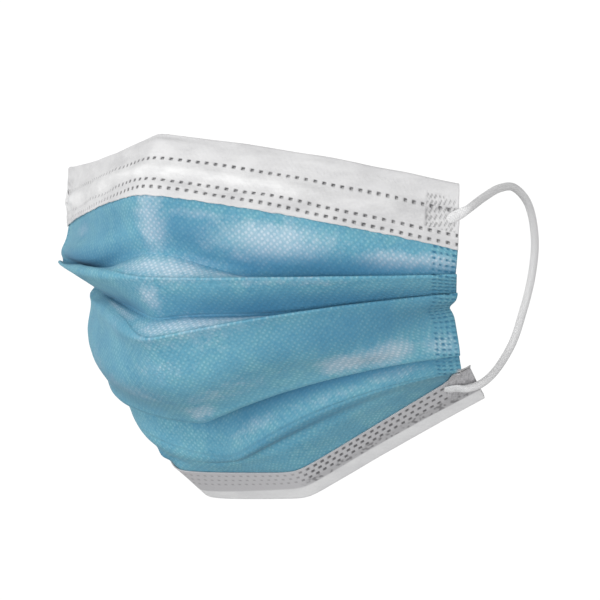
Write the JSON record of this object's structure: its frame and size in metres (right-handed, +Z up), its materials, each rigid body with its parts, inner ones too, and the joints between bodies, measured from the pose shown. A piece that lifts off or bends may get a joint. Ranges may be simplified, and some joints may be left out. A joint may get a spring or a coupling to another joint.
{
  "type": "pleated face mask",
  "caption": "Pleated medical face mask in its worn form: blue cloth panel with opened pleats, folded band over the nose, folded chin band and round elastic ear loops.",
  "frame": {"origin": "the middle of the top edge, where the mask sits on the bridge of the nose", "axes": "+Z up, -Y out of the front of the mask, +Y towards the face that wears it, +X to the right of someone looking at the front"},
  "size_m": [0.1568, 0.1007, 0.1145],
  "materials": {
    "blue_cloth": "matte nonwoven cloth with a fine embossed dot lattice",
    "white_cloth": "matte white nonwoven cloth with rows of welded dots",
    "grey_cloth": "matte white nonwoven cloth, greyer where the plies are welded in rows of dots",
    "white_elastic": "soft knitted round elastic"
  },
  "bodies": {
    "root": {"pleated_panel": "blue_cloth", "nose_band": "white_cloth", "chin_band": "grey_cloth", "ear_loop_right": "white_elastic", "ear_loop_left": "white_elastic"}
  },
  "joints": []
}
